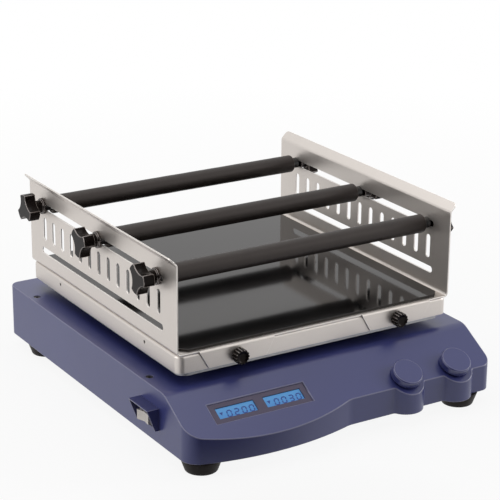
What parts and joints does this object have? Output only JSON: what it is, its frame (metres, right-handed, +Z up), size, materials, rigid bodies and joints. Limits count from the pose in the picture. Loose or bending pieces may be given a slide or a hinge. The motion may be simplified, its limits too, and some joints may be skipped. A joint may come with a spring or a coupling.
{
  "type": "orbital shaker",
  "caption": "Bench orbital shaker: sloped control panel with displays and push dials, a platform on an eccentric drive, and a slotted bottle carrier with clamped padded bars.",
  "frame": {"origin": "on the bench, under the middle of the whole outline", "axes": "+Z up, +X to the right seen from the front, front control panel towards -Y"},
  "size_m": [0.3884, 0.4265, 0.2074],
  "materials": {
    "housing": "satin painted",
    "dials": "satin moulded",
    "silver": "satin silver coat",
    "steel": "machined",
    "aluminium": "cast",
    "feet": "matt",
    "sleeve": "matt",
    "mat": "gloss",
    "black_plastic": "moulded",
    "bezel": "matt",
    "display": "backlit",
    "rocker": "moulded",
    "board": "circuit board",
    "belt": "toothed belt",
    "black_metal": "black coat"
  },
  "bodies": {
    "base": {"housing": "housing", "base_plate": "steel", "feet": "feet", "cover_screws": "black_metal", "switch_hood": "housing", "switch_body": "black_plastic", "mains_inlet": "black_plastic", "display_bezel": "bezel", "speed_display": "display", "time_display": "display", "control_board": "board", "power_supply": "aluminium", "speed_encoder": "steel", "time_encoder": "steel", "motor": "black_plastic", "drive_belt": "belt", "crank_bearing_block": "aluminium", "support_bearing_blocks": "aluminium", "base_bearings": "steel"},
    "rocker": {"power_rocker": "rocker"},
    "speed_push": {"speed_push_collar": "rocker"},
    "speed_dial": {"speed_shaft": "steel", "speed_knob": "dials"},
    "time_push": {"time_push_collar": "rocker"},
    "time_dial": {"time_shaft": "steel", "time_knob": "dials"},
    "crank": {"crankshaft": "steel", "drive_pulley": "aluminium", "counterweight": "steel"},
    "motor_rotor": {"motor_shaft": "steel", "motor_pulley": "aluminium"},
    "platform": {"moving_frame": "aluminium", "frame_bearings": "steel", "frame_brackets": "steel", "side_screws": "black_metal", "platform": "silver", "weld_nuts": "steel", "carrier": "silver", "mat": "mat"},
    "support_front_left": {"support_crank_front_left": "steel"},
    "support_front_right": {"support_crank_front_right": "steel"},
    "support_rear_left": {"support_crank_rear_left": "steel"},
    "support_rear_right": {"support_crank_rear_right": "steel"},
    "front_bar": {"front_rod": "black_metal", "front_sleeve": "sleeve"},
    "clamp_knob_front_left": {"clamp_knob_front_left": "black_plastic"},
    "clamp_knob_front_right": {"clamp_knob_front_right": "black_plastic"},
    "middle_bar": {"middle_rod": "black_metal", "middle_sleeve": "sleeve"},
    "clamp_knob_middle_left": {"clamp_knob_middle_left": "black_plastic"},
    "clamp_knob_middle_right": {"clamp_knob_middle_right": "black_plastic"},
    "rear_bar": {"rear_rod": "black_metal", "rear_sleeve": "sleeve"},
    "clamp_knob_rear_left": {"clamp_knob_rear_left": "black_plastic"},
    "clamp_knob_rear_right": {"clamp_knob_rear_right": "black_plastic"},
    "thumbscrew_front_left": {"thumbscrew_front_left": "black_plastic"},
    "thumbscrew_front_right": {"thumbscrew_front_right": "black_plastic"},
    "thumbscrew_rear_left": {"thumbscrew_rear_left": "black_plastic"},
    "thumbscrew_rear_right": {"thumbscrew_rear_right": "black_plastic"}
  },
  "joints": [
    {"name": "crank_turn", "type": "hinge", "parent": "base", "child": "crank", "pos_m": [0.00485, 0.028, 0.05], "axis": [0, 0, 1], "continuous": true},
    {"name": "platform_orbit", "type": "hinge", "parent": "crank", "child": "platform", "pos_m": [0.00485, 0.023, 0.085], "axis": [0, 0, 1], "continuous": true},
    {"name": "support_front_left_turn", "type": "hinge", "parent": "base", "child": "support_front_left", "pos_m": [-0.11015, -0.087, 0.05], "axis": [0, 0, 1], "continuous": true},
    {"name": "support_front_right_turn", "type": "hinge", "parent": "base", "child": "support_front_right", "pos_m": [0.11985, -0.087, 0.05], "axis": [0, 0, 1], "continuous": true},
    {"name": "support_rear_left_turn", "type": "hinge", "parent": "base", "child": "support_rear_left", "pos_m": [-0.11015, 0.143, 0.05], "axis": [0, 0, 1], "continuous": true},
    {"name": "support_rear_right_turn", "type": "hinge", "parent": "base", "child": "support_rear_right", "pos_m": [0.11985, 0.143, 0.05], "axis": [0, 0, 1], "continuous": true},
    {"name": "motor_turn", "type": "hinge", "parent": "base", "child": "motor_rotor", "pos_m": [0.00485, -0.084, 0.05], "axis": [0, 0, 1], "continuous": true},
    {"name": "power_switch", "type": "hinge", "parent": "base", "child": "rocker", "pos_m": [-0.18015, -0.12, 0.039], "axis": [0, 0, 1], "range_deg": [-14, 0]},
    {"name": "speed_push", "type": "slide", "parent": "base", "child": "speed_push", "axis": [0, 0.5, -0.866], "range_m": [0, 0.001], "stiffness_N_per_m": 1500, "springref_m": -0.001},
    {"name": "speed_turn", "type": "hinge", "parent": "speed_push", "child": "speed_dial", "pos_m": [0.08185, -0.19, 0.04775], "axis": [0, -0.5, 0.866], "continuous": true},
    {"name": "time_push", "type": "slide", "parent": "base", "child": "time_push", "axis": [0, 0.5, -0.866], "range_m": [0, 0.001], "stiffness_N_per_m": 1500, "springref_m": -0.001},
    {"name": "time_turn", "type": "hinge", "parent": "time_push", "child": "time_dial", "pos_m": [0.14435, -0.19, 0.04775], "axis": [0, -0.5, 0.866], "continuous": true},
    {"name": "front_bar_slide", "type": "slide", "parent": "platform", "child": "front_bar", "axis": [0, 1, 0], "range_m": [-0.007, 0.09]},
    {"name": "clamp_knob_front_left_turn", "type": "hinge", "parent": "front_bar", "child": "clamp_knob_front_left", "pos_m": [-0.17515, -0.103, 0.177], "axis": [-1, 0, 0], "continuous": true},
    {"name": "clamp_knob_front_right_turn", "type": "hinge", "parent": "front_bar", "child": "clamp_knob_front_right", "pos_m": [0.18485, -0.103, 0.177], "axis": [1, 0, 0], "continuous": true},
    {"name": "middle_bar_slide", "type": "slide", "parent": "platform", "child": "middle_bar", "axis": [0, 1, 0], "range_m": [-0.09, 0.094]},
    {"name": "clamp_knob_middle_left_turn", "type": "hinge", "parent": "middle_bar", "child": "clamp_knob_middle_left", "pos_m": [-0.17515, 0.024, 0.177], "axis": [-1, 0, 0], "continuous": true},
    {"name": "clamp_knob_middle_right_turn", "type": "hinge", "parent": "middle_bar", "child": "clamp_knob_middle_right", "pos_m": [0.18485, 0.024, 0.177], "axis": [1, 0, 0], "continuous": true},
    {"name": "rear_bar_slide", "type": "slide", "parent": "platform", "child": "rear_bar", "axis": [0, 1, 0], "range_m": [-0.094, 0.001]},
    {"name": "clamp_knob_rear_left_turn", "type": "hinge", "parent": "rear_bar", "child": "clamp_knob_rear_left", "pos_m": [-0.17515, 0.155, 0.177], "axis": [-1, 0, 0], "continuous": true},
    {"name": "clamp_knob_rear_right_turn", "type": "hinge", "parent": "rear_bar", "child": "clamp_knob_rear_right", "pos_m": [0.18485, 0.155, 0.177], "axis": [1, 0, 0], "continuous": true},
    {"name": "thumbscrew_front_left_turn", "type": "hinge", "parent": "platform", "child": "thumbscrew_front_left", "pos_m": [-0.09265, -0.142, 0.094], "axis": [0, -1, 0], "continuous": true},
    {"name": "thumbscrew_front_right_turn", "type": "hinge", "parent": "platform", "child": "thumbscrew_front_right", "pos_m": [0.10235, -0.142, 0.094], "axis": [0, -1, 0], "continuous": true},
    {"name": "thumbscrew_rear_left_turn", "type": "hinge", "parent": "platform", "child": "thumbscrew_rear_left", "pos_m": [-0.09265, 0.188, 0.094], "axis": [0, 1, 0], "continuous": true},
    {"name": "thumbscrew_rear_right_turn", "type": "hinge", "parent": "platform", "child": "thumbscrew_rear_right", "pos_m": [0.10235, 0.188, 0.094], "axis": [0, 1, 0], "continuous": true}
  ],
  "couplings": [
    {"joint": "platform_orbit", "follows": "crank_turn", "ratio": -1},
    {"joint": "support_front_left_turn", "follows": "crank_turn", "ratio": 1},
    {"joint": "support_front_right_turn", "follows": "crank_turn", "ratio": 1},
    {"joint": "support_rear_left_turn", "follows": "crank_turn", "ratio": 1},
    {"joint": "support_rear_right_turn", "follows": "crank_turn", "ratio": 1},
    {"joint": "motor_turn", "follows": "crank_turn", "ratio": 3}
  ]
}
